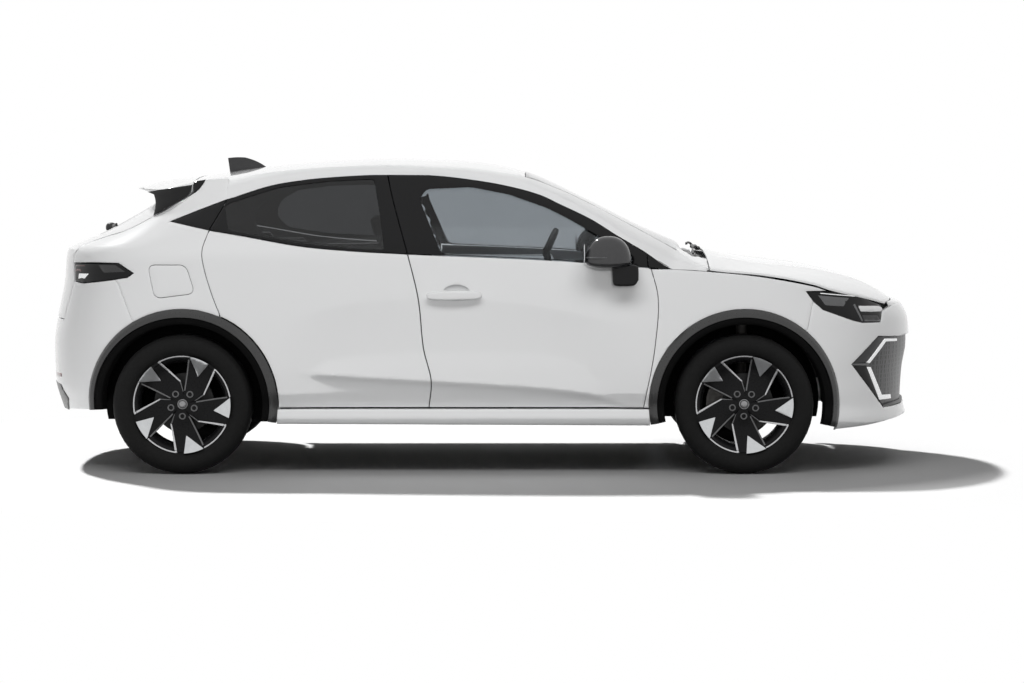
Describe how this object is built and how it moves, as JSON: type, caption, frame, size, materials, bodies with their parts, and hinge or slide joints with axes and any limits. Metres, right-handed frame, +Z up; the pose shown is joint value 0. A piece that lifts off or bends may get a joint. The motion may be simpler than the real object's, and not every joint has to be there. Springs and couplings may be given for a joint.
{
  "type": "five-door hatchback",
  "caption": "Small five-door hatchback with opening doors, hood, tailgate and filler flap, steered front wheels, hollow cabin and load space.",
  "frame": {"origin": "on the ground, in the middle of the car's length and width", "axes": "+X forward, +Y to the car's left, +Z up"},
  "size_m": [4.1121, 1.9912, 1.4569],
  "materials": {
    "white_paint": "gloss",
    "gloss_black": "gloss",
    "cladding": "satin",
    "glass": "clear, light tint",
    "privacy_glass": "dark tint",
    "lamp_clear": "clear lens over dark",
    "lamp_red": "clear lens over red",
    "tyre": "matt",
    "alloy": "machined and dark painted",
    "steel": "satin",
    "cast_iron": "matt",
    "cabin_plastic": "grained",
    "seat_fabric": "woven"
  },
  "bodies": {
    "body": {"floor_pan": "steel", "sills": "white_paint", "b_pillars": "cladding", "roof_rails": "white_paint", "quarter_panels": "white_paint", "roof_panel": "white_paint", "windscreen": "glass", "scuttle": "cladding", "wipers": "cladding", "front_fenders": "white_paint", "front_bumper": "white_paint", "grille": "gloss_black", "headlamps": "lamp_clear", "running_lamps": "lamp_clear", "rear_bumper": "white_paint", "tail_lamps": "lamp_red", "arch_trims": "cladding", "arch_liners": "cladding", "antenna": "gloss_black", "dashboard": "cabin_plastic", "front_seats": "seat_fabric", "rear_bench": "seat_fabric", "powertrain": "cast_iron", "exhaust": "steel", "front_subframe": "steel", "rear_axle": "steel"},
    "front_right_door": {"front_door_right": "white_paint", "front_glass_right": "glass", "mirror_right": "gloss_black"},
    "front_left_door": {"front_door_left": "white_paint", "front_glass_left": "glass", "mirror_left": "gloss_black"},
    "rear_right_door": {"rear_door_right": "white_paint", "rear_glass_right": "privacy_glass"},
    "rear_left_door": {"rear_door_left": "white_paint", "rear_glass_left": "privacy_glass"},
    "tail_door": {"tailgate": "white_paint", "tailgate_glass": "privacy_glass", "spoiler": "white_paint", "spoiler_blades": "gloss_black", "rear_wiper": "cladding"},
    "bonnet": {"hood": "white_paint"},
    "fuel_flap": {"filler_flap": "white_paint"},
    "right_knuckle": {"knuckle_right": "cast_iron"},
    "left_knuckle": {"knuckle_left": "cast_iron"},
    "front_right_wheel": {"tyre_front_right": "tyre", "rim_front_right": "alloy"},
    "front_left_wheel": {"tyre_front_left": "tyre", "rim_front_left": "alloy"},
    "rear_right_wheel": {"tyre_rear_right": "tyre", "rim_rear_right": "alloy"},
    "rear_left_wheel": {"tyre_rear_left": "tyre", "rim_rear_left": "alloy"},
    "steering": {"steering_wheel": "cabin_plastic"}
  },
  "joints": [
    {"name": "front_right_door_hinge", "type": "hinge", "parent": "body", "child": "front_right_door", "pos_m": [0.772, -0.868, 0.7], "axis": [0, 0, 1], "range_deg": [0, 66]},
    {"name": "front_left_door_hinge", "type": "hinge", "parent": "body", "child": "front_left_door", "pos_m": [0.772, 0.868, 0.7], "axis": [0, 0, -1], "range_deg": [0, 66]},
    {"name": "rear_right_door_hinge", "type": "hinge", "parent": "body", "child": "rear_right_door", "pos_m": [-0.262, -0.868, 0.7], "axis": [0, 0, 1], "range_deg": [0, 70]},
    {"name": "rear_left_door_hinge", "type": "hinge", "parent": "body", "child": "rear_left_door", "pos_m": [-0.262, 0.868, 0.7], "axis": [0, 0, -1], "range_deg": [0, 70]},
    {"name": "tailgate_hinge", "type": "hinge", "parent": "body", "child": "tail_door", "pos_m": [-1.346, 0, 1.368], "axis": [0, 1, 0], "range_deg": [0, 80]},
    {"name": "hood_hinge", "type": "hinge", "parent": "body", "child": "bonnet", "pos_m": [1.04, 0, 1.024], "axis": [0, -1, 0], "range_deg": [0, 62]},
    {"name": "flap_hinge", "type": "hinge", "parent": "body", "child": "fuel_flap", "pos_m": [-1.318, -0.868, 0.89], "axis": [0, 0, 1], "range_deg": [0, 95]},
    {"name": "left_steer", "type": "hinge", "parent": "body", "child": "left_knuckle", "pos_m": [1.209, 0.705, 0.321], "axis": [0, 0, 1], "range_deg": [-35, 35]},
    {"name": "right_steer", "type": "hinge", "parent": "body", "child": "right_knuckle", "pos_m": [1.209, -0.705, 0.321], "axis": [0, 0, 1], "range_deg": [-35, 35]},
    {"name": "steering_wheel_turn", "type": "hinge", "parent": "body", "child": "steering", "pos_m": [0.284, 0.37, 0.935], "axis": [-0.9063, 0, 0.4226], "range_deg": [-490, 490]},
    {"name": "front_right_spin", "type": "hinge", "parent": "right_knuckle", "child": "front_right_wheel", "pos_m": [1.209, -0.762, 0.321], "axis": [0, 1, 0], "continuous": true},
    {"name": "front_left_spin", "type": "hinge", "parent": "left_knuckle", "child": "front_left_wheel", "pos_m": [1.209, 0.762, 0.321], "axis": [0, 1, 0], "continuous": true},
    {"name": "rear_right_spin", "type": "hinge", "parent": "body", "child": "rear_right_wheel", "pos_m": [-1.382, -0.762, 0.321], "axis": [0, 1, 0], "continuous": true},
    {"name": "rear_left_spin", "type": "hinge", "parent": "body", "child": "rear_left_wheel", "pos_m": [-1.382, 0.762, 0.321], "axis": [0, 1, 0], "continuous": true}
  ],
  "couplings": [
    {"joint": "right_steer", "follows": "left_steer", "ratio": 1},
    {"joint": "steering_wheel_turn", "follows": "left_steer", "ratio": 14}
  ]
}
